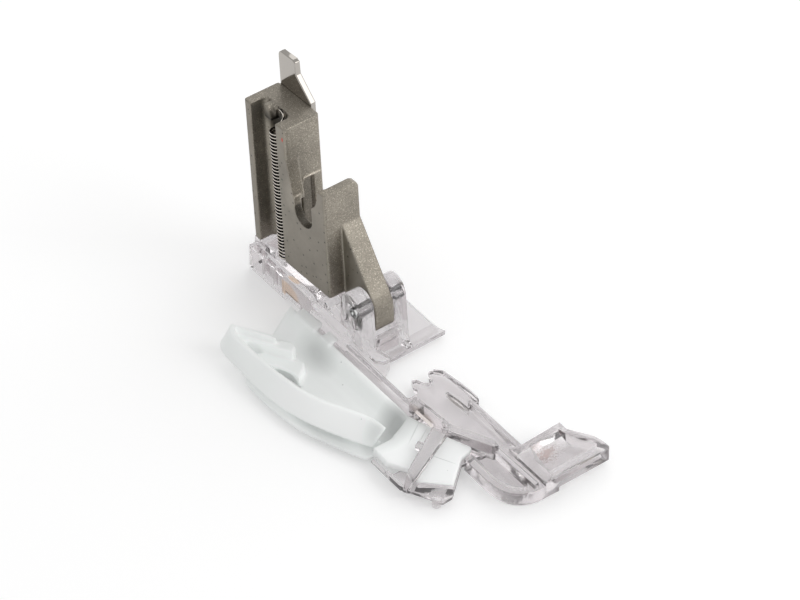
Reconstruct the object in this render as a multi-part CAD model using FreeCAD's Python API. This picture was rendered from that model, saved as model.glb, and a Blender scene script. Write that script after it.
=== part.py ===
import FreeCAD, Part
import math
import os

# Hinged presser foot with a clear sole, a clear arm that reaches forward to a toe, and a white
# edge guide that slides in the clear arm. Units are mm, +Z up, +Y to the back of the machine,
# +X to the operator's right. The origin is on the floor, straight below the hinge pin.

V = FreeCAD.Vector

# hinge
PIN_Z = 8.9
PIN_R = 0.875
PIN_X0, PIN_X1 = -4.35, 3.85
PIN_PLAY = 0.04
LEAN_DEG = 3.86

# shank, in its own upright pose (it is leaned back about the pin at the end)
BLOCK_X0, BLOCK_X1 = -4.5, 1.84
BLOCK_Y0, BLOCK_Y1 = 14.95, 24.95
SHANK_Z0, BLOCK_Z1 = 7.8, 33.5
CHANNEL_Y0, CHANNEL_Y1 = 17.1, 23.4
CHANNEL_DEPTH = 2.9
FIN_Y0, FIN_Y1 = 5.86, 7.26
FIN_X1 = 1.72
FIN_Z1 = 26.9
WEB_T = 1.3
SLOT_Y0, SLOT_Y1 = 9.3, 13.5
SLOT_ZC = 20.1
ARM_X0, ARM_X1 = -1.65, 1.72

# tab and spring
TAB_X0, TAB_T = 1.84, 1.0
SPRING_X, SPRING_Y = -3.2, 18.55
SPRING_R, WIRE_R, PITCH, COILS = 1.05, 0.2, 0.61, 39
RUNS, SIDES = 12, 6
SPRING_Z0 = 7.25
SPRING_Z1 = SPRING_Z0 + PITCH * COILS

# clear sole and arm
SOLE_X0, SOLE_X1 = -5.45, 3.0
EAR_L = (-4.3, -1.85)
EAR_R = (1.92, 3.95)
PLATE_T = 0.8
STRIP_X0, STRIP_X1 = -7.35, -4.9
BAR_Z0, BAR_Z1 = 3.75, 4.7
ELBOW_Z0, ELBOW_Z1 = 3.1, 4.0
TRAY_Z0 = 1.3


def prism_x(yz, x0, x1):
    """Extrude a Y-Z outline along X."""
    pts = [V(x0, y, z) for y, z in yz]
    return Part.Face(Part.makePolygon(pts + pts[:1])).extrude(V(x1 - x0, 0, 0))


def prism_y(xz, y0, y1):
    """Extrude an X-Z outline along Y."""
    pts = [V(x, y0, z) for x, z in xz]
    return Part.Face(Part.makePolygon(pts + pts[:1])).extrude(V(0, y1 - y0, 0))


def prism_z(xy, z0, z1):
    """Extrude an X-Y outline along Z."""
    pts = [V(x, y, z0) for x, y in xy]
    return Part.Face(Part.makePolygon(pts + pts[:1])).extrude(V(0, 0, z1 - z0))


def box(x0, x1, y0, y1, z0, z1):
    """A box from its limits."""
    return Part.makeBox(x1 - x0, y1 - y0, z1 - z0, V(x0, y0, z0))


def smooth_z(xy, z0, z1, closing=()):
    """Extrude an outline whose first part is a smooth curve and whose rest is straight."""
    curve = Part.BSplineCurve()
    curve.interpolate([V(x, y, z0) for x, y in xy])
    edges = [curve.toShape()]
    ends = [xy[-1]] + list(closing) + [xy[0]]
    for a, b in zip(ends, ends[1:]):
        edges.append(Part.makeLine(V(a[0], a[1], z0), V(b[0], b[1], z0)))
    return Part.Face(Part.Wire(edges)).extrude(V(0, 0, z1 - z0))


def arc_yz(cy, cz, r, a0, a1, n=10):
    """Points of an arc in the Y-Z plane, angles in degrees from +Y."""
    out = []
    for i in range(n + 1):
        a = math.radians(a0 + (a1 - a0) * i / n)
        out.append((cy + r * math.cos(a), cz + r * math.sin(a)))
    return out


def lean(shape):
    """Lean a shape of the shank's body back about the hinge pin."""
    s = shape.copy()
    s.rotate(V(0, 0, PIN_Z), V(1, 0, 0), -LEAN_DEG)
    return s


def fillet(shape, radius, pick):
    """Round the edges that pick chooses; keep the plain shape if the kernel can't."""
    edges = [e for e in shape.Edges if pick(e)]
    if not edges:
        return shape
    try:
        out = shape.makeFillet(radius, edges)
        return out if out.isValid() and len(out.Solids) == 1 else shape
    except Exception:
        return shape


def along(e, axis):
    """True for a straight edge that runs along an axis."""
    if e.Curve.TypeId != "Part::GeomLine":
        return False
    d = e.Vertexes[-1].Point.sub(e.Vertexes[0].Point)
    d.normalize()
    return abs(d.dot(axis)) > 0.999


# shank

def shank_block():
    """Upright block with a channel down its left face, a peg in it and a groove in its front."""
    b = box(BLOCK_X0, BLOCK_X1, BLOCK_Y0, BLOCK_Y1, SHANK_Z0, BLOCK_Z1)
    b = fillet(b, 0.45, lambda e: along(e, V(0, 0, 1)))
    depth = BLOCK_X0 + CHANNEL_DEPTH
    channel = box(BLOCK_X0 - 1, depth, CHANNEL_Y0, CHANNEL_Y1, SHANK_Z0 - 1, BLOCK_Z1 + 1)
    channel = fillet(channel, 1.1, lambda e: along(e, V(0, 0, 1)) and e.BoundBox.XMax > depth - 0.1)
    b = b.cut(channel)
    b = b.cut(box(-2.4, 0.6, BLOCK_Y0 - 1, BLOCK_Y0 + 1.3, SHANK_Z0 - 1, 23.5))
    peg = [(22.1, 31.3), (22.1, BLOCK_Z1), (21.25, BLOCK_Z1), (20.3, 31.7), (20.4, 31.3)]
    root = [(22.1, 31.3), (22.1, BLOCK_Z1), (21.25, BLOCK_Z1), (20.25, 33.1), (20.25, 31.3)]
    return b.fuse([prism_x(peg, depth - 1.45, depth - 0.55), prism_x(root, depth - 0.6, depth + 0.3)])


def shank_ramp():
    """Rough flare where the block's front grows into the side wall."""
    return prism_x([(15.6, 28.0), (14.95, 28.0), (13.75, 22.0), (13.75, 21.0), (15.6, 21.0)],
                   BLOCK_X0, -2.4)


def shank_web():
    """Thin left wall from the block to the fin, with the open screw slot in it."""
    r = (SLOT_Y1 - SLOT_Y0) / 2
    yc = (SLOT_Y0 + SLOT_Y1) / 2
    outline = [(15.5, SHANK_Z0), (15.5, 22.0), (SLOT_Y1, 22.0)]
    outline += arc_yz(yc, SLOT_ZC, r, 0, -180, 14)
    outline += [(SLOT_Y0, 22.7), (8.5, 23.4), (7.85, 24.6), (7.5, 25.9), (7.3, FIN_Z1)]
    outline += [(6.5, FIN_Z1), (6.5, SHANK_Z0)]
    return prism_x(outline, BLOCK_X0, BLOCK_X0 + WEB_T)


def shank_fin():
    """Upright plate across the front, with its top right corner rounded off."""
    xz = [(BLOCK_X0, SHANK_Z0), (BLOCK_X0, FIN_Z1), (FIN_X1 - 0.8, FIN_Z1),
          (FIN_X1 - 0.25, FIN_Z1 - 0.3), (FIN_X1, FIN_Z1 - 0.95), (FIN_X1, SHANK_Z0)]
    return prism_y(xz, FIN_Y0, FIN_Y1)


def shank_arm():
    """Sloping arm that reaches down from the fin to the hinge pin."""
    yz = [(6.6, 20.9), (5.86, 20.35), (5.2, 19.4), (0.5, 12.0), (-0.75, 10.2), (-1.3, 9.1)]
    yz += [(-1.43, 7.6), (-1.42, 6.1)] + arc_yz(-0.35, 5.35, 1.07, 170, 270, 5)
    yz += [(1.6, 4.3), (6.6, SHANK_Z0)]
    arm = prism_x(yz, ARM_X0, ARM_X1)
    bore = Part.makeCylinder(PIN_R + PIN_PLAY, 10, V(ARM_X0 - 3, 0, PIN_Z), V(1, 0, 0))
    return arm.cut(bore)


def shank():
    """One sintered piece: block, side wall, fin and arm."""
    s = shank_block().fuse([shank_ramp(), shank_web(), shank_fin(), shank_arm()])
    s = s.removeSplitter()
    s = fillet(s, 0.35, lambda e: along(e, V(0, 0, 1)) and e.BoundBox.ZMax > FIN_Z1 - 1.5
               and abs(e.BoundBox.YMin - FIN_Y0) < 0.01 and abs(e.BoundBox.XMin - BLOCK_X0) < 0.01)
    return lean(s)


def tab():
    """Polished plate on the block's right face; its narrow head stands above the block."""
    yz = [(24.65, 20.0), (24.65, 38.7), (24.5, 39.2), (24.1, 39.5), (21.0, 39.65), (20.5, 39.3),
          (20.4, 37.2), (17.1, 33.9), (17.1, 20.0), (18.1, 19.0), (23.65, 19.0)]
    t = prism_x(yz, TAB_X0, TAB_X0 + TAB_T)
    t = fillet(t, 0.18, lambda e: abs(e.BoundBox.XMin - e.BoundBox.XMax) < 1e-6
               and e.BoundBox.ZMax > 33.8)
    return lean(t)


def coil_line():
    """Centre line of the close coils, as straight runs around a helix."""
    out = []
    for i in range(COILS * RUNS + 1):
        a = 2 * math.pi * i / RUNS
        out.append(V(SPRING_X + SPRING_R * math.cos(a), SPRING_Y + SPRING_R * math.sin(a),
                     SPRING_Z0 + PITCH * i / RUNS))
    return out


def hook_line():
    """Centre line of the wire above the coils: it rises and bends over beside the peg."""
    curve = Part.BSplineCurve()
    curve.interpolate([V(SPRING_X + SPRING_R, SPRING_Y, SPRING_Z1), V(-2.1, 19.05, 31.35),
                       V(-1.95, 18.8, 32.1), V(-1.9, 18.6, 32.75), V(-1.9, 18.8, 33.2),
                       V(-1.9, 19.25, 33.45), V(-1.9, 19.75, 33.25)])
    return curve.discretize(22)[1:]


def spring():
    """One six-sided wire, lofted along its line; each section stands across the line."""
    line = coil_line() + hook_line()
    side = V(1, 0, 0)
    rings = []
    for i, p in enumerate(line):
        ahead = line[min(i + 1, len(line) - 1)].sub(line[max(i - 1, 0)])
        ahead.normalize()
        if i <= COILS * RUNS:
            side = V(p.x - SPRING_X, p.y - SPRING_Y, 0)
        side = side - ahead * side.dot(ahead)
        side.normalize()
        third = ahead.cross(side)
        ring = []
        for k in range(SIDES):
            a = 2 * math.pi * (k + 0.5) / SIDES
            ring.append(p + side * (WIRE_R * math.cos(a)) + third * (WIRE_R * math.sin(a)))
        rings.append(Part.makePolygon(ring + ring[:1]))
    return lean(Part.makeLoft(rings, True, True))


def pin():
    """Straight hinge pin with a small dimple in its visible end."""
    p = Part.makeCylinder(PIN_R, PIN_X1 - PIN_X0, V(PIN_X0, 0, PIN_Z), V(1, 0, 0))
    dimple = Part.makeCone(0.45, 0.15, 0.25, V(PIN_X0 - 0.01, 0, PIN_Z), V(1, 0, 0))
    return p.cut(dimple)


# clear sole

def deck_z(y):
    """Height of the shank's underside above the floor at a given Y, less a hair."""
    return 6.02 + (24.8 - y) * 0.0675


def sole_heel():
    """Heel block under the shank, with a ledge along its left side."""
    yz = [(25.05, 0.35), (24.7, 0.0), (8.8, 0.0), (8.8, deck_z(8.8)), (24.9, deck_z(24.9))]
    deck = prism_x(yz, -4.45, SOLE_X1)
    ledge = prism_x([(25.05, 0.35), (24.7, 0), (9.6, 0), (9.2, 0.6), (9.2, 4.6), (9.8, 5.0),
                     (24.6, 5.0), (25.05, 4.6)], SOLE_X0, -4.0)
    return deck.fuse(ledge)


def heel_cuts():
    """Recesses in the heel's left side and the hollow under its deck."""
    cuts = [box(SOLE_X0 - 1, -4.3, 21.7, 24.4, 0.9, 4.2),
            box(SOLE_X0 - 1, -4.7, 18.9, 20.9, 0.9, 4.2),
            box(SOLE_X0 - 1, -4.7, 16.7, 18.4, 0.9, 4.2),
            box(SOLE_X0 - 1, -4.9, 12.0, 16.0, -1, 1.9),
            box(-3.2, 2.0, 10.0, 23.6, -1, 3.4)]
    out = cuts[0]
    return out.fuse(cuts[1:])


def ear(x0, x1):
    """Upright ear that carries one end of the hinge pin."""
    yz = arc_yz(0.95, 9.0, 2.42, 180, 0, 14)
    yz += [(3.5, 4.2), (3.5, 0.4), (-2.3, 0.4), (-1.9, 4.5)]
    return prism_x(yz, x0, x1)


def sole_front():
    """Plate under the ears with a toe that curves up, and the walls between the ears."""
    r, y0 = 6.6, -1.6
    under = [(9.0, 0.0), (y0, 0.0)]
    under += [(y0 - r * math.sin(math.radians(a)), r - r * math.cos(math.radians(a)))
              for a in (7, 14, 21, 30)]
    upper = [(y, z + PLATE_T) for y, z in under]
    plate = prism_x(under + upper[::-1], -2.2, 8.6)
    plate = plate.fuse(box(-4.5, 0, 1.5, 9.2, 0, 1.4))
    side = prism_x([(9.3, 0), (9.3, 4.1), (1.6, 4.1), (0.6, 3.0), (0.6, 0)], SOLE_X0, -4.2)
    wall_l = prism_x([(9.0, 0.5), (9.0, 6.4), (5.0, 4.2), (3.4, 4.2), (3.4, 0.5)], *EAR_L)
    wall_r = prism_x([(9.0, 0.5), (9.0, 6.4), (5.0, 4.2), (3.4, 4.2), (3.4, 0.5)], 1.92, SOLE_X1)
    cross = box(-2.0, 2.0, -3.05, -2.05, 0.3, 4.4)
    sill = box(-2.2, 2.2, -2.6, -1.9, 0.3, 2.6)
    brace = prism_x([(-2.0, 3.4), (-2.0, 0.6), (-4.6, 0.9), (-4.6, 1.9)], 1.92, 2.75)
    return plate.fuse([side, wall_l, wall_r, cross, sill, brace])


def sole_bed():
    """Low bed that joins the left ear to the strip beside the needle opening."""
    xy = [(-5.2, 9.0), (-5.2, 1.0), (-5.0, -7.6), (-4.5, -7.4), (-2.4, -5.6), (-1.8, -5.3),
          (-1.8, -2.0), (-2.0, 9.0)]
    bed = prism_z(xy, 0.0, 1.6)
    post = prism_z([(-3.6, -2.0), (-3.8, -4.2), (-3.0, -5.2), (-1.9, -5.3), (-1.4, -4.6),
                    (-1.8, -2.0)], 0.0, 2.2)
    return bed.fuse(post)


def arm_strip():
    """Rail beside the white guide, with a raised inner rib."""
    low = prism_y([(STRIP_X0, 0.3), (STRIP_X0, 2.9), (-5.9, 2.9), (-5.6, 3.2), (-5.3, 3.2),
                   (STRIP_X1, 2.4), (STRIP_X1, 0.3)], -17.0, 9.3)
    return low


def arm_ski():
    """Flat runner beyond the needle opening, with the hooked thread edge at its back."""
    back = [(3.2, -11.6), (3.4, -12.9), (3.65, -14.9), (3.85, -17.1), (3.86, -18.9), (3.6, -19.5)]
    xy = [(-5.2, -11.5), (-4.6, -12.4), (-3.9, -12.9), (-2.7, -12.85), (-1.9, -12.15),
          (-2.0, -11.2), (-1.6, -10.2), (-0.85, -10.5), (-0.45, -11.6), (0.1, -12.1),
          (0.65, -12.2), (1.05, -11.85), (0.95, -11.2), (1.3, -10.4), (1.75, -10.2), (2.2, -10.5)]
    xy += back + [(2.3, -19.5), (2.4, -31.5), (-1.2, -31.5), (-1.2, -29.2), (-4.6, -22.6),
                  (-5.2, -16.0)]
    plate = prism_z(xy, 0.3, 1.5)
    slot = prism_z([(0.75, -15.3), (1.2, -15.3), (1.6, -19.9), (1.05, -20.3)], -1, 3)
    edge = prism_z([(2.2, -10.5)] + back + [(3.1, -19.3), (2.9, -13.2), (2.5, -11.8), (1.8, -10.9)],
                   0.3, 1.85)
    rail = box(1.55, 2.35, -32.0, -19.5, 0.3, 2.7)
    return plate.cut(slot).fuse([edge, rail])


def arm_toe():
    """Rounded toe: a trough along the left side that turns into a box on the right."""
    left = [(-5.85, -28.3), (-5.85, -31.2), (-5.75, -34.6), (-5.3, -36.5), (-4.3, -38.0),
            (-2.6, -39.1), (0.2, -39.5)]
    body = smooth_z(left, 0.3, 2.6, [(2.4, -39.6), (2.4, -30.0), (-1.2, -29.0), (-3.2, -28.3)])
    groove_edge = [(-4.5, -27.9), (-4.5, -31.5), (-4.3, -35.0), (-3.4, -36.9), (-2.0, -37.9)]
    groove = smooth_z(groove_edge, 1.3, 5.0, [(-1.2, -36.5), (-1.5, -30.0), (-2.4, -27.9)])
    rib = prism_x([(-28.9, 1.2), (-28.9, 2.9), (-38.9, 3.4), (-39.2, 1.2)], -1.6, -0.8)
    return body.cut(groove).fuse(rib)


def arm_box():
    """Open box at the toe's right end, with a floor that slopes to the front."""
    xy = [(0.0, -39.6), (11.4, -39.65), (11.75, -39.2), (11.7, -37.8), (11.3, -36.3),
          (9.1, -32.9), (9.1, -31.2), (1.6, -31.5), (0.0, -31.0)]
    outer = prism_z(xy, 0.3, 3.3)
    bevel = prism_x([(-41.0, 0.0), (-41.0, 1.7), (-37.6, 0.3), (-37.6, 0.0)], -1.0, 13.0)
    inner_xy = [(1.8, -38.0), (10.5, -38.0), (10.8, -37.5), (10.5, -36.4), (8.4, -33.6),
                (8.1, -32.2), (2.8, -32.2)]
    inner = prism_z(inner_xy, 1.3, 6.0)
    side = prism_x([(-32.2, 1.2), (-32.2, 2.9), (-34.3, 1.2)], 2.3, 9.0)
    return outer.cut(inner).fuse(side.common(outer)).cut(bevel)


def bar_section(back, front, z0, z1):
    """Upright four-sided section across the portal's bar."""
    (xa, ya), (xb, yb) = back, front
    pts = [V(xa, ya, z0), V(xb, yb, z0), V(xb, yb, z1), V(xa, ya, z1)]
    return Part.makePolygon(pts + pts[:1])


def arm_portal():
    """Bridge over the guide's tongue: a side beam, a sloping bar with an elbow, a diagonal wall."""
    beam = prism_z([(-6.6, -16.2), (-5.0, -15.8), (-4.55, -22.4), (-5.9, -23.2), (-6.5, -21.9)],
                   BAR_Z0, BAR_Z1)
    post = prism_z([(-6.6, -16.2), (-5.0, -15.8), (-4.9, -17.6), (-6.6, -17.4)], 1.0, BAR_Z0)
    right = bar_section((-6.5, -21.9), (-5.2, -23.9), BAR_Z0, BAR_Z1)
    elbow = bar_section((-14.4, -26.3), (-14.85, -28.35), ELBOW_Z0, ELBOW_Z1)
    corner = bar_section((-15.65, -27.0), (-15.8, -27.9), TRAY_Z0, TRAY_Z0 + 0.85)
    bar = Part.makeLoft([right, elbow], True, True).fuse(Part.makeLoft([elbow, corner], True, True))
    wall = prism_z([(-5.0, -22.0), (-4.2, -22.4), (-0.9, -29.0), (-1.2, -30.2), (-1.9, -29.9),
                    (-5.05, -23.6)], 0.3, 4.0)
    join = prism_z([(-6.4, -22.0), (-5.3, -21.8), (-4.5, -21.6), (-4.4, -22.6), (-5.1, -23.7)],
                   BAR_Z0, BAR_Z1)
    leg = prism_z([(-5.0, -21.8), (-4.5, -21.6), (-4.4, -22.6), (-4.9, -22.9)], 0.3, BAR_Z1)
    lug = prism_z([(-10.9, -23.3), (-9.9, -22.8), (-9.3, -24.2), (-10.6, -24.8)], 3.55, 4.3)
    return beam.fuse([post, bar, wall, join, leg, lug])


def arm_tray():
    """Tray under the tongue: floor, left rim, sloping front lip and the foot on the table."""
    front = [(-15.15, -28.5), (-13.86, -31.0), (-13.07, -32.7), (-11.3, -32.6), (-10.9, -32.3)]
    gap = [(-10.2, -31.6), (-14.0, -28.15)]
    floor = prism_z([(-6.2, -16.4), (-4.9, -16.4), (-4.6, -23.0), (-1.9, -29.0), (-5.3, -28.6),
                     (-6.4, -28.4)] + front[::-1] + [(-15.95, -27.4), (-16.1, -24.0),
                                                     (-14.0, -24.0), (-7.6, -20.2),
                                                     (-6.2, -20.0)],
                    TRAY_Z0, TRAY_Z0 + 0.45)
    rim = box(-16.15, -15.6, -26.8, -19.9, TRAY_Z0, TRAY_Z0 + 0.45)
    rim = rim.fuse(prism_z([(-16.15, -23.2), (-15.6, -23.2), (-15.6, -26.8), (-15.9, -27.2),
                            (-16.15, -26.6)], TRAY_Z0, TRAY_Z0 + 0.85))
    top = [(-14.3, -28.35), (-12.8, -29.8), (-11.3, -31.2), (-10.75, -31.75), (-10.55, -31.85)]
    low = [V(x, y, TRAY_Z0) for x, y in front + gap]
    high = [V(x, y, 2.3 + (y + 33) / 12) for x, y in top + gap]
    lip = Part.makeLoft([Part.makePolygon(low + low[:1]), Part.makePolygon(high + high[:1])],
                        True, True)
    foot = Part.makeCylinder(0.72, TRAY_Z0 + 0.2, V(-13.0, -31.2, 0), V(0, 0, 1))
    return floor.fuse([rim, lip, foot])


def sole():
    """The whole clear moulding."""
    s = sole_heel().cut(heel_cuts())
    s = s.fuse([ear(*EAR_L), ear(*EAR_R), sole_front(), sole_bed(), arm_strip(), arm_ski(),
                arm_toe(), arm_box(), arm_portal(), arm_tray()])
    bore = Part.makeCylinder(PIN_R, 20, V(-10, 0, PIN_Z), V(1, 0, 0))
    s = s.cut(bore)
    well = Part.makeCylinder(SPRING_R + 0.55, 3.0, V(SPRING_X, SPRING_Y + 0.05, 5.2), V(0, 0, 1))
    s = s.cut(well)
    return s.removeSplitter()


# white guide

def guide_wall():
    """Ridge along the clear rail and the hollow slope that falls away from it."""
    flat = [(-8.7, 3.3), (-9.7, 2.9), (-10.7, 2.55), (-11.6, 2.2), (-12.6, 1.8)]
    hollow = [(-8.4, 3.3), (-9.1, 2.6), (-9.8, 2.05), (-10.8, 1.7), (-12.6, 1.5)]
    rings = []
    for y, slope in ((12.0, flat), (4.0, hollow), (-19.6, hollow)):
        xz = [(-7.45, 0.9), (-7.45, 3.45), (-7.65, 3.6)] + slope + [(-12.6, 0.9)]
        pts = [V(x, y, z) for x, z in xz]
        rings.append(Part.makePolygon(pts + pts[:1]))
    wall = Part.makeLoft(rings, True, True)
    end = prism_z([(-6.5, 12.0), (-6.5, 14.0), (-14.0, 14.0), (-14.0, 9.0)], -1, 6)
    nose = prism_z([(-7.0, -17.4), (-6.0, -22.0), (-14.0, -22.0), (-14.0, -19.8)], -1, 6)
    return wall.cut(end).cut(nose)


def guide_floor():
    """Thin bottom of the hollow; its edge stands out a little below the band."""
    edge = [(-16.3, -19.0), (-17.5, -16.4), (-18.7, -13.5), (-19.6, -11.0), (-20.4, -8.4),
            (-21.0, -4.5), (-21.2, -1.0), (-21.15, 2.4), (-20.8, 4.6)]
    floor = smooth_z(edge, 0.9, 1.5, [(-18.2, 6.6), (-14.5, 9.4), (-12.4, 9.6), (-12.4, -19.7)])
    hole = prism_z([(-16.5, 4.2), (-15.1, 1.3), (-15.1, -0.8), (-14.8, -1.3), (-16.2, -2.3),
                    (-16.6, 0.5)], -1, 6)
    return floor.cut(hole)


def loop(curve_xy, rest_xy, z):
    """Closed wire at one height: a smooth curve, then straight lines back to its start."""
    pts = [V(x, y, z) for x, y in curve_xy]
    curve = Part.BSplineCurve()
    curve.interpolate(pts)
    rest = [pts[-1]] + [V(x, y, z) for x, y in rest_xy] + [pts[0]]
    return Part.Wire([curve.toShape()] + [Part.makeLine(a, b) for a, b in zip(rest, rest[1:])])


def guide_band():
    """Curved finger band: its outer face leans in to the rim and turns round the free end."""
    rim = [(-13.1, -18.9), (-14.7, -13.1), (-16.9, -8.8), (-18.0, -4.9), (-18.4, -2.0),
           (-18.7, 1.3), (-18.95, 4.8), (-19.15, 8.2), (-18.9, 10.9), (-17.6, 12.3)]
    foot = [(-14.9, -18.4), (-17.2, -14.0), (-18.6, -10.9), (-19.75, -7.5), (-20.55, -3.9),
            (-21.0, -0.1), (-21.0, 4.2), (-20.95, 8.5), (-20.2, 11.9), (-18.2, 13.1)]
    body = Part.makeLoft([loop(foot, [(-13.6, 7.0), (-13.2, -17.6)], 2.2),
                          loop(rim, [(-14.4, 6.9), (-12.4, -18.7)], 5.2)], True, True)
    inner_rim = [(-12.3, -19.6), (-13.9, -13.2), (-16.2, -8.6), (-17.4, -4.7), (-17.8, -1.9),
                 (-18.1, 1.3), (-18.25, 4.8), (-18.3, 8.0), (-18.15, 10.2), (-17.6, 11.3)]
    inner_foot = [(-12.9, -18.9), (-15.0, -13.2), (-17.0, -9.6), (-18.2, -6.5), (-19.0, -3.2),
                  (-19.4, 0.0), (-19.4, 4.0), (-19.3, 7.6), (-18.9, 9.9), (-17.9, 11.6)]
    inner = Part.makeLoft([loop(inner_foot, [(-14.0, 5.6), (-10.5, 3.5), (-10.5, -19.0)], 2.15),
                           loop(inner_rim, [(-14.8, 5.9), (-10.5, 3.5), (-10.5, -19.6)], 5.25)],
                          True, True)
    under = [(-14.0, -18.0), (-16.4, -13.6), (-17.9, -10.6), (-19.0, -7.3), (-19.8, -3.8),
             (-20.3, -0.2), (-20.3, 4.6)]
    web = smooth_z(under, 1.4, 2.3, [(-19.2, 4.6), (-19.3, 0.0), (-18.9, -3.2), (-18.1, -6.5),
                                     (-16.9, -9.6), (-14.9, -13.2), (-12.9, -18.3)])
    return body.cut(inner).fuse(web)


def guide_return():
    """Two steps between the band's free end and the hollow, with the back wall behind them."""
    upper = prism_z([(-18.4, 11.2), (-17.4, 12.2), (-14.6, 7.6), (-12.3, 4.6), (-12.4, 3.5),
                     (-13.6, 2.5), (-15.4, 5.5), (-17.1, 8.4), (-18.6, 9.2)], 1.5, 4.2)
    lower = prism_z([(-19.4, 8.0), (-15.5, 6.2), (-13.9, 4.1), (-12.5, 1.2), (-13.2, 0.2),
                     (-15.2, -1.2), (-15.4, 0.8), (-16.2, 2.7), (-17.6, 4.4), (-19.4, 5.4)],
                    1.0, 2.8)
    return upper.fuse(lower)


def guide_tongue():
    """Tongue that runs under the portal's bar, sloping a little down to its tip."""
    xy = [(-7.5, -17.4), (-5.9, -21.2), (-5.65, -22.9), (-3.6, -27.1), (-4.3, -27.6),
          (-6.1, -27.95), (-10.2, -31.4), (-13.9, -28.0), (-13.6, -25.2), (-15.4, -22.6),
          (-15.4, -19.3), (-12.4, -19.4)]
    t = prism_z(xy, 1.5, 3.6).cut(box(-20, 0, -40, -19.8, 0, TRAY_Z0 + 0.5))
    top = [(-12.0, 9.0), (-17.3, 3.6), (-21.0, 3.3), (-33.0, 2.3), (-33.0, 9.0)]
    return t.cut(prism_x(top, -20, 0))


def guide_lugs():
    """Two lugs that reach from the ridge over the clear rail."""
    a = prism_z([(-8.2, 9.6), (-6.4, 9.9), (-6.1, 5.6), (-6.6, 5.0), (-8.2, 5.0)], 3.32, 3.75)
    b = prism_z([(-8.2, 3.4), (-6.3, 3.6), (-6.2, 1.6), (-6.6, 1.2), (-8.2, 1.2)], 3.32, 3.75)
    return a.fuse(b)


def guide():
    """The whole white moulding."""
    g = guide_wall().fuse([guide_floor(), guide_band(), guide_return(), guide_tongue(),
                           guide_lugs()])
    return g.removeSplitter()


def export(name, shape):
    """Check one node and write its STEP file."""
    print(name, shape.isValid(), len(shape.Solids), round(shape.Volume, 2), shape.BoundBox)
    shape.exportStep("parts/" + name + ".step")


os.makedirs("parts", exist_ok=True)
export("shank", shank())
export("tab", tab())
export("spring", spring())
export("hinge_pin", pin())
export("sole", sole())
export("guide", guide())
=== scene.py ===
import math

import bmesh
import bpy
import numpy as np
from mathutils import Matrix, Vector


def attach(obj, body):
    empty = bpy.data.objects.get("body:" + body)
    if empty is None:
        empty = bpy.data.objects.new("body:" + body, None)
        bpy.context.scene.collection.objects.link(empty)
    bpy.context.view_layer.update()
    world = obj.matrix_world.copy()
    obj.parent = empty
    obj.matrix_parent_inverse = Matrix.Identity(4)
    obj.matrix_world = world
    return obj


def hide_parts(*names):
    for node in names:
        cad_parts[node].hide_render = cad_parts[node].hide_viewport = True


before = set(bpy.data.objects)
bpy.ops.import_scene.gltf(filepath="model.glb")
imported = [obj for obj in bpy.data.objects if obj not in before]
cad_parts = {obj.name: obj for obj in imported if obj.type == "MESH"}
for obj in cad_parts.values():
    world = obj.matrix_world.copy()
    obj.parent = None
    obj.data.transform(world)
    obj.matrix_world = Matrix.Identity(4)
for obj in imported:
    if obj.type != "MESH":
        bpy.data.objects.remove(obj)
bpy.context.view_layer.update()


# Shank: one sintered steel piece, bead blasted and tumbled, about 6 x 27 x 28 mm, that leans back
# on the hinge pin. Every edge is softly broken, the front faces carry grain with painted glints and
# the side faces keep fine moulding pores.

MM = 0.001
PIN_Z = 8.9 * MM
LEAN = math.radians(3.86)
SAME_POINT = 0.002 * MM
SAME_FACE = math.radians(1.0)


def clean_copy(node, name, body, turn=0.0, axis="X"):
    """Copy of a CAD node's mesh, turned about an axis through the hinge pin's middle, with its
    doubles merged and its flat faces joined."""
    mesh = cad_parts[node].data.copy()
    mesh.name = name
    mesh.materials.clear()
    bm = bmesh.new()
    bm.from_mesh(mesh)
    bmesh.ops.remove_doubles(bm, verts=bm.verts, dist=SAME_POINT)
    bmesh.ops.dissolve_limit(bm, angle_limit=SAME_FACE, verts=bm.verts, edges=bm.edges)
    bmesh.ops.rotate(bm, cent=(0, 0, PIN_Z), matrix=Matrix.Rotation(turn, 3, axis), verts=bm.verts)
    bm.to_mesh(mesh)
    bm.free()
    mesh.polygons.foreach_set("use_smooth", [True] * len(mesh.polygons))
    obj = bpy.data.objects.new(name, mesh)
    bpy.context.scene.collection.objects.link(obj)
    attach(obj, body)
    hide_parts(node)
    return obj


def soften(obj, voxel, rounds, turn=0.0, axis="X"):
    """Voxel remesh, then rounds of smoothing that move each point halfway to its neighbours'
    middle, kept as the piece's own mesh: corners blend as in a mould. The piece is then turned
    about an axis through the hinge pin's middle, back to where it stood before its copy."""
    remesh = obj.modifiers.new("skin", "REMESH")
    remesh.mode = "VOXEL"
    remesh.voxel_size = voxel
    remesh.use_smooth_shade = True
    blend = obj.modifiers.new("blend", "SMOOTH")
    blend.factor = 0.5
    blend.iterations = rounds
    mesh = bpy.data.meshes.new_from_object(obj.evaluated_get(bpy.context.evaluated_depsgraph_get()))
    obj.modifiers.clear()
    mesh.transform(Matrix.Translation((0, 0, PIN_Z)) @ Matrix.Rotation(turn, 4, axis)
                   @ Matrix.Translation((0, 0, -PIN_Z)))
    mesh.name = obj.data.name
    obj.data = mesh


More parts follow.
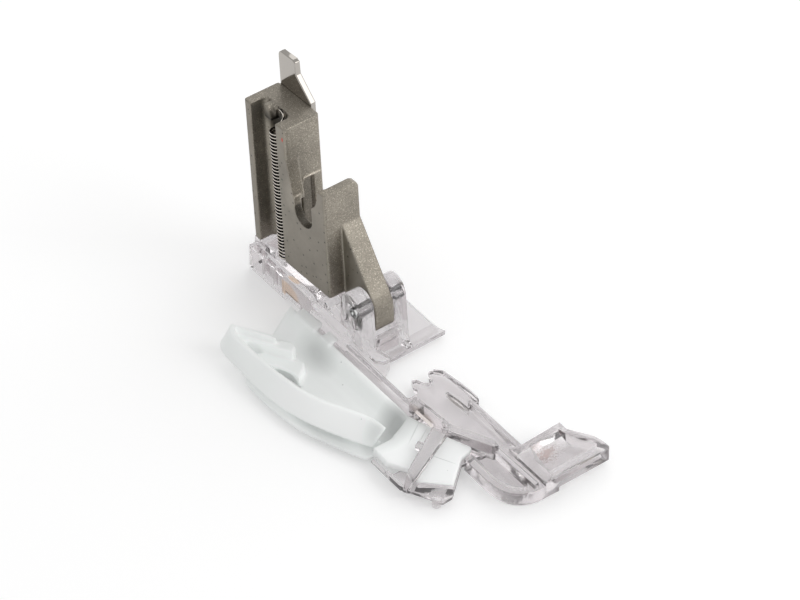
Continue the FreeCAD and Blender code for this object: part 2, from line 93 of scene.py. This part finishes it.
class Finish:
    """Node material with one Principled shader. What goes to a socket is linked to it if it is
    another node's socket, and set as its value if it is a number or a colour."""

    def __init__(self, name):
        self.material = bpy.data.materials.new(name)
        self.material.use_nodes = True
        self.tree = self.material.node_tree
        place = self.node("ShaderNodeTexCoord")
        self.place = place["Object"]
        self.normal = place["Normal"]

    def feed(self, socket, value):
        """Links or sets one socket."""
        if isinstance(value, bpy.types.NodeSocket):
            self.tree.links.new(value, socket)
        else:
            socket.default_value = value

    def node(self, kind, *values, **named):
        """New node: its settings and some sockets by name, then its open sockets in their order.
        Returns its outputs."""
        node = self.tree.nodes.new(kind)
        for key, value in named.items():
            if key in node.inputs:
                self.feed(node.inputs[key], value)
            else:
                setattr(node, key, value)
        for socket, value in zip([s for s in node.inputs if s.enabled], values):
            self.feed(socket, value)
        return node.outputs

    def calc(self, operation, *values, **settings):
        """One operation of arithmetic."""
        return self.node("ShaderNodeMath", *values, operation=operation, **settings)["Value"]

    def product(self, first, second):
        """First times second."""
        return self.calc("MULTIPLY", first, second)

    def ranged(self, source, low, high, to_low=0.0, to_high=1.0):
        """Straight line from to_low, where the source is low, to to_high, where it is high; the
        ends are held beyond them."""
        return self.node("ShaderNodeMapRange", source, low, high, to_low, to_high)["Result"]

    def mixed(self, share, under, over, **settings):
        """Under where the share is nothing, over where it is one, and even steps between."""
        return self.node("ShaderNodeMix", share, under, over, **settings)["Result"]

    def along(self, vector, direction):
        """Length of a vector's part along a direction."""
        dot = self.node("ShaderNodeVectorMath", vector, direction, operation="DOT_PRODUCT")
        return dot["Value"]

    def facing(self):
        """The normal's parts along X, Y and Z."""
        return self.node("ShaderNodeSeparateXYZ", self.normal)

    def noise(self, scale, detail, rough=0.5):
        """Cloudy noise, about 0.3 to 0.7; scale is its waves to a metre."""
        return self.node("ShaderNodeTexNoise", self.place, scale, detail, rough)["Fac"]

    def cells(self, scale):
        """Distance to the nearest of scattered points, one to a cell, counted in cells; scale
        is the cells to a metre."""
        return self.node("ShaderNodeTexVoronoi", self.place, scale)["Distance"]

    def spot(self, centre, radii, turn=0.0):
        """One at the centre of an ellipsoid (mm), less the further out, and nothing from its
        radii on. Turn is its angle about Z in degrees."""
        local = self.node("ShaderNodeMapping", self.place, [c * MM for c in centre],
                          (0, 0, math.radians(turn)), [r * MM for r in radii],
                          vector_type="TEXTURE")
        return self.node("ShaderNodeTexGradient", local["Vector"], gradient_type="SPHERICAL")["Fac"]

    def tone(self, colour, level):
        """Colour times level."""
        return self.node("ShaderNodeVectorMath", colour, level, operation="SCALE")["Vector"]

    def bump(self, height, strength, distance):
        """Normal that tilts as if the surface stood out by the height times the distance."""
        bump = self.node("ShaderNodeBump", Strength=strength, Distance=distance, Height=height)
        return bump["Normal"]

    def surface(self, sockets):
        """Feeds the shader's sockets by name and returns the material."""
        shader = self.tree.nodes["Principled BSDF"]
        for key, value in sockets.items():
            self.feed(shader.inputs[key], value)
        return self.material


def sintered_steel():
    """Brown-grey steel. Faces that look to the sides, told by the normal's X, are smooth with
    fine dark pores; all others carry a bright and dark grain from the blasting, with painted
    glints in small cells. The level, a product of shares, paints light on faces to the front,
    painted shade in the screw slot and under the peg, and painted highlights on the groove's
    lip and on a patch of the web. The groove is told by its depth behind the block's front and
    by facing forwards, and its face is darkened as painted shade."""
    steel = Finish("sintered_steel")
    facing = steel.facing()
    front = steel.ranged(steel.calc("ABSOLUTE", facing["X"]), 0.8, 0.4)
    grain = steel.noise(4800.0, 2.0, 0.8)
    fine = steel.ranged(grain, 0.3, 0.7, 0.70, 1.28)
    faint = steel.ranged(grain, 0.3, 0.7, 0.95, 1.05)
    # Painted glints: small bright cells in the colour of the front faces.
    glint = steel.ranged(steel.cells(3400.0), 0.14, 0.30, 1.9, 1.0)
    pore = steel.ranged(steel.cells(1000.0), 0.12, 0.20, 0.32, 1.0)
    level = steel.mixed(front, steel.product(faint, pore), steel.product(fine, glint))
    level = steel.product(steel.ranged(steel.noise(180.0, 5.0, 0.65), 0.3, 0.7, 0.86, 1.14), level)
    # Painted light: faces to the front are lighter, faces that turn away a little darker.
    level = steel.product(level, steel.ranged(facing["Y"], -0.8, -0.2, 1.22, 0.95))
    # Painted shade inside the screw slot and under the peg; painted highlights on the groove's lip
    # and on a patch of the web.
    slot = (-3.9, 12.13, 19.31), (90, 2.7, 2.7), 0.185, 0.215, 0.42
    under_peg = (-2.0, 22.2, 29.0), (2.9, 3.0, 2.9), 0.0, 0.5, 0.16
    groove_lip = (-0.35, 15.74, 22.39), (2.3, 0.6, 0.3), 0.0, 0.5, 2.0
    painted_light_patch = (-3.4, 15.2, 21.5), (2.2, 2.0, 4.5), 0.0, 0.6, 1.3
    for centre, radii, low, high, share in (slot, under_peg, groove_lip, painted_light_patch):
        spot = steel.spot(centre, radii)
        level = steel.product(level, steel.ranged(spot, low, high, 1.0, share))
    # Painted shade: the groove's face, behind the block's front and facing forwards, is darker.
    depth = steel.along(steel.place, (0, math.cos(LEAN), -math.sin(LEAN)))
    deep = steel.ranged(depth, 14.43 * MM, 14.52 * MM)
    forward = steel.ranged(facing["Y"], -0.6, -0.85)
    near = steel.ranged(steel.spot((0.6, 15.7, 16.5), (2.75, 4, 8)), 0.0, 0.03)
    groove = steel.product(steel.product(deep, forward), near)
    level = steel.product(level, steel.ranged(groove, 0.0, 1.0, 1.0, 0.66))
    grey = steel.tone((0.262, 0.238, 0.200), level)
    red = (0.55, 0.05, 0.03, 1)
    fleck = steel.ranged(steel.spot((-4.5, 17.02, 30.41), (0.30, 0.22, 0.5)), 0.0, 0.5)
    skin = steel.mixed(front, pore, grain)
    return steel.surface({"Base Color": steel.mixed(fleck, grey, red, data_type="RGBA"),
                          "Metallic": 0.8, "Roughness": 0.42,
                          "Normal": steel.bump(skin, 0.5, 0.03 * MM)})


# Middle and size, in mm on the upright shank, of the block that makes the front groove shallow,
# of the two steps at its right edge, and of the thin lip over it.
GROOVE_FILL = (-0.55, 15.7, 15.5), (2.9, 1.1, 15.4)
GROOVE_STEP = (0.3, 15.6, 15.5), (0.8, 1.1, 15.4)
GROOVE_EDGE = (0.45, 15.5, 15.5), (0.5, 1.1, 15.4)
GROOVE_LIP = (-0.35, 14.95, 23.42), (3.2, 0.3, 0.24)

shank = clean_copy("shank", "shank_casting", "shank_body", LEAN)
upright = bmesh.new()
upright.from_mesh(shank.data)
for middle, size in (GROOVE_FILL, GROOVE_STEP, GROOVE_EDGE, GROOVE_LIP):
    place = Matrix.Translation([c * MM for c in middle]) @ Matrix.Diagonal((*size, 1))
    bmesh.ops.create_cube(upright, size=MM, matrix=place)
upright.to_mesh(shank.data)
upright.free()
soften(shank, voxel=0.14 * MM, rounds=2, turn=-LEAN)
shank.data.materials.append(sintered_steel())


# Tab: a thin steel plate, stamped and then plated bright. It lies flat on the right face of the
# shank's block, with its narrow head above it, and no fastener of it shows.

def round_edges(obj, width):
    """Bevel of two segments on every edge that turns by more than 25 degrees."""
    bevel = obj.modifiers.new("broken_edges", "BEVEL")
    bevel.width = width
    bevel.segments = 2
    bevel.limit_method = "ANGLE"
    bevel.angle_limit = math.radians(25)
    bevel.harden_normals = True


def chrome_plate():
    """Bright plating with faint smears: a slow noise changes its roughness a little."""
    plate = Finish("chrome_plate")
    smear = plate.ranged(plate.noise(700.0, 4.0, 0.6), 0.0, 1.0, 0.06, 0.16)
    return plate.surface({"Base Color": (0.43, 0.405, 0.375, 1), "Metallic": 1.0,
                          "Roughness": smear})


tab = clean_copy("tab", "lever_tab", "shank_body")
round_edges(tab, width=0.08 * MM)
tab.data.materials.append(chrome_plate())


# Spring: a close-coiled tension spring of drawn round steel wire, 0.38 mm thick, that stands in
# the shank's channel. Its upper end rises and bends over beside the peg.

COILS = 39
PITCH = 0.61
COIL_R = 1.05
WIRE_R = 0.19
FOOT_X, FOOT_Y, FOOT_Z = -3.2, 18.55, 7.25
STEPS_A_TURN = 28
STEPS_A_KNOT = 8
WIRE_SIDES = 12
HOOK = ((-2.1, 19.05, 31.35), (-1.95, 18.8, 32.1), (-1.9, 18.6, 32.75), (-1.9, 18.8, 33.2),
        (-1.9, 19.25, 33.45), (-1.9, 19.75, 33.25))


def spline(knots, steps):
    """Catmull-Rom curve through the knots: a cubic between each two, from their neighbours. Each
    end gets one more knot, its neighbour mirrored in it."""
    k = np.array(knots, float)
    k = np.concatenate([[2 * k[0] - k[1]], k, [2 * k[-1] - k[-2]]])
    t = np.linspace(0, 1, steps, endpoint=False)[:, None]
    parts = [0.5 * (2 * b + (c - a) * t + (2 * a - 5 * b + 4 * c - d) * t ** 2
                    + (3 * b - a - 3 * c + d) * t ** 3)
             for a, b, c, d in zip(k, k[1:], k[2:], k[3:])]
    return np.concatenate(parts + [k[-2:-1]])


def tube(line, radius, sides, up):
    """Round wire: at each point of the line a circle stands across the tangent. The circle's
    first axis is up with its part along the tangent taken away."""
    tangent = np.gradient(line, axis=0)
    tangent /= np.linalg.norm(tangent, axis=1, keepdims=True)
    first = up - tangent * (up * tangent).sum(1, keepdims=True)
    first /= np.linalg.norm(first, axis=1, keepdims=True)
    second = np.cross(tangent, first)
    a = np.linspace(0, 2 * np.pi, sides, endpoint=False)
    ring = first[:, None] * np.cos(a)[None, :, None] + second[:, None] * np.sin(a)[None, :, None]
    return line[:, None] + radius * ring


def leaned(points):
    """Points of the upright shank in mm, leaned back about the hinge pin, in metres."""
    x, y, z = np.moveaxis(points * MM, -1, 0)
    z = z - PIN_Z
    return np.stack([x, y * math.cos(LEAN) + z * math.sin(LEAN),
                     z * math.cos(LEAN) - y * math.sin(LEAN) + PIN_Z], -1)


def grid_mesh(name, points):
    """Piece of a grid of points that closes around its second axis, with flat end caps."""
    rows, cols = points.shape[:2]
    i, j = np.meshgrid(np.arange(rows - 1), np.arange(cols), indexing="ij")
    k = (j + 1) % cols
    quads = np.stack([i * cols + j, i * cols + k, (i + 1) * cols + k, (i + 1) * cols + j], -1)
    faces = quads.reshape(-1, 4).tolist()
    faces.append(list(range(cols))[::-1])
    faces.append(list(range((rows - 1) * cols, rows * cols)))
    mesh = bpy.data.meshes.new(name)
    mesh.from_pydata(points.reshape(-1, 3), [], faces)
    mesh.polygons.foreach_set("use_smooth", [True] * len(mesh.polygons))
    obj = bpy.data.objects.new(name, mesh)
    bpy.context.scene.collection.objects.link(obj)
    return obj


def wire_steel():
    """Drawn wire with painted light: a painted highlight where the normal's height is near 0.3, the
    side that meets the light, and painted shade where the wire turns to its neighbours."""
    steel = Finish("wire_steel")
    away = steel.calc("ABSOLUTE", steel.calc("SUBTRACT", steel.facing()["Z"], 0.3))
    # Painted highlight and painted shade, by the normal's height.
    level = steel.ranged(away, 0.12, 0.40, 0.95, 0.03)
    rough = steel.ranged(steel.noise(2500.0, 2.0), 0.0, 1.0, 0.14, 0.30)
    return steel.surface({"Base Color": steel.tone((0.86, 0.80, 0.72), level), "Metallic": 1.0,
                          "Roughness": rough})


# The coil is a helix: as the angle turns, X and Y go round the coil's circle and Z rises by the
# pitch with each turn. The circle across the wire starts on the side away from the coil's axis.
turn = np.linspace(0, 2 * np.pi * COILS, COILS * STEPS_A_TURN + 1)
coil = np.stack([FOOT_X + COIL_R * np.cos(turn), FOOT_Y + COIL_R * np.sin(turn),
                 FOOT_Z + PITCH * turn / (2 * np.pi)], -1)
hook = spline([coil[-1], *HOOK], STEPS_A_KNOT)[1:]
outward = np.stack([np.cos(turn), np.sin(turn), 0 * turn], -1)
outward = np.concatenate([outward, np.repeat(outward[-1:], len(hook), 0)])
wire = tube(np.concatenate([coil, hook]), WIRE_R, WIRE_SIDES, outward)
spring = grid_mesh("tension_spring", leaned(wire))
spring.data.materials.append(wire_steel())
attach(spring, "shank_body")
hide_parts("spring")


# Hinge pin: a polished steel pin pressed through both ears. Its left end stands a little proud
# and is dull and dark, as it was sheared off.

def ground_steel():
    """Polished steel with painted reflections of the studio's bands: along the normal's part in the
    (0, 0.76, 0.65) direction it is grey, white, then dark. The left end, told by the normal's X,
    is dull and dark with lighter flecks."""
    steel = Finish("ground_steel")
    noise = steel.noise(2600.0, 3.0)
    # Painted reflections: grey, white and dark bands along the normal.
    band = steel.ranged(steel.along(steel.normal, (0, 0.76, 0.65)), -1.0, 1.0)
    bands = steel.node("ShaderNodeValToRGB", band)["Color"]
    stops = ((0.0, 0.45), (0.25, 0.6), (0.35, 1.0), (0.62, 1.0), (0.70, 0.10), (0.9, 0.06),
             (1.0, 0.4))
    ramp = bands.node.color_ramp.elements
    for position, _ in stops[2:]:
        ramp.new(position)
    for stop, (position, grey) in zip(ramp, stops):
        stop.position = position
        stop.color = (grey, grey, grey, 1)
    end = steel.ranged(steel.facing()["X"], -0.75, -0.9)
    sheared = steel.ranged(noise, 0.35, 0.65, 0.03, 0.45)
    return steel.surface({"Base Color": steel.mixed(end, bands, sheared, data_type="RGBA"),
                          "Metallic": 1.0,
                          "Roughness": steel.ranged(noise, 0.0, 1.0, 0.15, 0.35)})


EAR_FACE = -4.0 * MM
PROUD = 0.25 * MM
pin = clean_copy("hinge_pin", "hinge_pin_ground", "foot")
points = np.empty(len(pin.data.vertices) * 3)
pin.data.vertices.foreach_get("co", points)
left_end = points[::3] < EAR_FACE
points[::3][left_end] -= PROUD
pin.data.vertices.foreach_set("co", points)
round_edges(pin, width=0.1 * MM)
pin.data.materials.append(ground_steel())


# Sole: one clear injection moulding with a faint lilac tint, polished in the mould. It carries
# the ears, the strip, the runner, the portal with its tray, and the toe with its open box.

def clear_plastic():
    """Clear moulding with a lilac tint, and painted shade that makes it a little darker where the
    normal lies level, on its walls. Each coat of colour is laid over the last where its share
    rises: painted shade in grey on the toe's walls, painted shade and painted dark and warm
    reflections at the places in the list, and in the toe's box red-brown dust, round the middles
    of small cells."""
    plastic = Finish("clear_plastic")

    def coat(under, share, low, high, colour):
        """Colour over the one under it, as the share rises from low to high."""
        cover = plastic.ranged(share, low, high)
        return plastic.mixed(cover, under, colour, data_type="RGBA"), cover

    # Painted shade: walls, where the normal lies level, get the darker tint.
    shaded_wall_tint, top_tint = (0.83, 0.795, 0.805, 1), (0.915, 0.885, 0.895, 1)
    level = plastic.calc("ABSOLUTE", plastic.facing()["Z"])
    tint, top = coat(shaded_wall_tint, level, 0.2, 0.8, top_tint)
    # Painted shade: the toe's outer walls turn grey.
    toe = plastic.spot((-2.0, -34.5, 1.0), (10, 10, 6))
    toe_wall = plastic.product(toe, plastic.calc("SUBTRACT", 1.0, top))
    tint, toe_wall_shade = coat(tint, toe_wall, 0.0, 0.35, (0.60, 0.57, 0.58, 1))
    warm = (0.90, 0.62, 0.42, 1)
    # Painted shade on the box's back wall and in the runner's slot; painted dark reflections on the
    # portal's beam and at the ear's edge; painted warm reflections on the heel's window and ledge.
    portal_beam = (-6.55, -19.3, 4.3), (0.9, 3.4, 1.6), 0, 0.0, 0.4, (0.42, 0.37, 0.34, 1)
    box_wall = (5.9, -32.0, 2.2), (2.2, 1.7, 1.3), 0, 0.0, 0.4, (0.66, 0.64, 0.64, 1)
    runner_slot = (0.95, -17.7, 1.3), (0.75, 2.9, 1.2), 4, 0.1, 0.4, (0.36, 0.33, 0.31, 1)
    ear_edge = (-4.3, -1.2, 7.8), (0.4, 1.0, 1.7), 0, 0.05, 0.4, (0.10, 0.095, 0.09, 1)
    heel_window = (-5.45, 15.2, 2.6), (0.6, 3.2, 1.8), 0, 0.05, 0.3, warm
    heel_ledge = (-4.85, 14.4, 5.0), (0.5, 1.5, 0.3), 6, 0.05, 0.35, warm
    for centre, radii, angle, low, high, colour in (portal_beam, box_wall, runner_slot, ear_edge,
                                                    heel_window, heel_ledge):
        tint, _ = coat(tint, plastic.spot(centre, radii, angle), low, high, colour)
    toe_box = plastic.spot((4.6, -33.6, 1.6), (4.2, 3.2, 1.6))
    speck = plastic.calc("SUBTRACT", toe_box, plastic.cells(5500.0))
    tint, dust = coat(tint, speck, 0.05, 0.3, (0.55, 0.42, 0.40, 1))
    return plastic.surface({"Base Color": tint, "IOR": 1.45,
                            "Transmission Weight": plastic.ranged(dust, 0.0, 1.0, 0.92, 0.3),
                            "Roughness": plastic.ranged(toe_wall_shade, 0.0, 1.0, 0.04, 0.22),
                            "Normal": plastic.bump(plastic.noise(420.0, 2.0), 0.12, 0.03 * MM)})


sole = clean_copy("sole", "clear_sole", "foot")
round_edges(sole, width=0.1 * MM)
sole.data.materials.append(clear_plastic())


# Guide: one white moulding with a fine matte skin. It slides along the sole's strip, with two
# lugs over the strip and its tongue under the portal. All its corners are softly blended.

def white_plastic():
    """Matte white moulding that lets light into its skin. The level is a product of shares:
    specks of dust, the middles of small cells, are darker; faces to the front get painted light;
    and painted shade darkens the flange under the band, the hollow's two ends, a patch beside the
    band and three fine lines on the tongue. A weak glow is painted light that stands for light
    that comes through."""
    plastic = Finish("white_plastic")
    specks = plastic.ranged(plastic.cells(420.0), 0.03, 0.05, 0.55, 1.0)
    # Specks of dust are darker; painted light makes faces to the front lighter.
    level = plastic.product(specks, plastic.ranged(plastic.facing()["Y"], 0.0, -0.35, 1.0, 1.14))
    # Painted shade: on the flange under the band, at the hollow's two ends, beside the band and
    # along three fine lines on the tongue.
    flange = (-18.0, -11.5, 1.4), (3.0, 9, 1.1), 0, 0.6, 0.80
    hollow_back = (-9.8, 1.9, 2.6), (2.7, 5.2, 5), -8, 0.8, 0.70
    hollow_front = (-9.7, -16.9, 2.6), (7.5, 4.0, 5), 20, 0.8, 0.52
    shade_beside_band = (-15.8, 1.4, 1.5), (1.3, 2.9, 1.2), 19, 0.3, 0.66
    line_one = (-8.9, -20.4, 3.5), (2.6, 0.14, 9), 33, 0.5, 0.80
    line_two = (-8.4, -21.7, 3.5), (2.3, 0.14, 9), 30, 0.5, 0.80
    line_three = (-8.5, -26.7, 3.2), (2.6, 0.10, 9), -59, 0.5, 0.72
    for centre, radii, angle, full, share in (flange, hollow_back, hollow_front, shade_beside_band,
                                              line_one, line_two, line_three):
        spot = plastic.spot(centre, radii, angle)
        level = plastic.product(level, plastic.ranged(spot, 0.0, full, 1.0, share))
    skin = plastic.noise(3000.0, 2.0)
    return plastic.surface({"Base Color": plastic.tone((0.88, 0.90, 0.89), level),
                            "Roughness": 0.42,
                            "Subsurface Weight": 0.6,
                            "Subsurface Radius": (1.0, 1.0, 1.0),
                            "Subsurface Scale": 1.2 * MM,
                            # Painted light: a weak glow for light that comes through the skin.
                            "Emission Color": (0.96, 1.0, 0.98, 1),
                            "Emission Strength": 0.07,
                            "Normal": plastic.bump(skin, 0.12, 0.02 * MM)})


# The copy is turned off the voxel grid's axes for its remesh, so that the grid leaves no steps
# along its long edges.
GRID_TURN = math.radians(37.0)
GRID_AXIS = Vector((0.55, 0.50, 0.67)).normalized()
guide = clean_copy("guide", "edge_guide", "guide_body", GRID_TURN, GRID_AXIS)
soften(guide, voxel=0.153 * MM, rounds=16, turn=-GRID_TURN, axis=GRID_AXIS)
guide.data.materials.append(white_plastic())


# Floor: a pale sheet, three metres square, that the foot stands on. It keeps the shadow, and adds
# a little of its own white to what is seen.

def floor_white():
    """Diffuse white with a glow of 0.30 for the camera, in reflections and through clear parts:
    the three kinds of ray are added up and held at one."""
    white = Finish("floor_white")
    ray = white.node("ShaderNodeLightPath")
    direct = white.calc("ADD", ray["Is Camera Ray"], ray["Is Glossy Ray"])
    seen = white.calc("ADD", direct, ray["Is Transmission Ray"], use_clamp=True)
    return white.surface({"Base Color": (0.80, 0.80, 0.80, 1), "Roughness": 0.9,
                          "Specular IOR Level": 0.0, "Emission Color": (1, 1, 1, 1),
                          "Emission Strength": white.product(seen, 0.30)})


HALF = 1.5
sheet = bpy.data.meshes.new("floor")
sheet.from_pydata([(-HALF, -HALF, 0), (HALF, -HALF, 0), (HALF, HALF, 0), (-HALF, HALF, 0)], [],
                  [(0, 1, 2, 3)])
sheet.materials.append(floor_white())
floor = bpy.data.objects.new("floor", sheet)
bpy.context.scene.collection.objects.link(floor)


# Light: a white dome does most of the work; a low lamp from the right and behind and one from the
# front right add some direction. Each share is what it adds to a white sheet; they make about one.

world = bpy.data.worlds.new("studio")
bpy.context.scene.world = world
world.use_nodes = True
sky = world.node_tree.nodes["Background"]
sky.inputs["Color"].default_value = (1, 1, 1, 1)
sky.inputs["Strength"].default_value = 0.68


def lamp(name, place, size, share):
    """Square area lamp that faces the part. Its power is pi squared times its share times the
    squared distance, over the cosine at the floor."""
    to_part = Vector((0, -0.005, 0.01)) - Vector(place)
    data = bpy.data.lights.new(name, "AREA")
    data.shape = "SQUARE"
    data.size = size
    data.energy = math.pi ** 2 * share * to_part.length ** 3 / -to_part.z
    obj = bpy.data.objects.new(name, data)
    bpy.context.scene.collection.objects.link(obj)
    obj.location = place
    obj.rotation_euler = to_part.to_track_quat("-Z", "Y").to_euler()


lamp("behind", place=(0.50, 0.20, 0.28), size=0.75, share=0.20)
lamp("right", place=(0.26, -0.40, 0.35), size=0.32, share=0.11)


# Camera: the photograph's own view, from the front left and 43 degrees above, as fitted to the
# shank's corners and to straight edges of the clear parts.

AIM = Vector((3.12, -1.13, 8.10)) * MM
LOOK = Vector((0.4375, 0.5820, -0.6855)).normalized()
AWAY = 584.3 * MM
camera = bpy.data.cameras.new("photo_view")
camera.lens = 180.0
camera.sensor_width = 36.0
camera.clip_start = 0.02
camera.clip_end = 10.0
eye = bpy.data.objects.new("photo_view", camera)
bpy.context.scene.collection.objects.link(eye)
eye.location = AIM - LOOK * AWAY
eye.rotation_euler = LOOK.to_track_quat("-Z", "Y").to_euler()
bpy.context.scene.camera = eye
bpy.context.scene.view_settings.view_transform = "Standard"
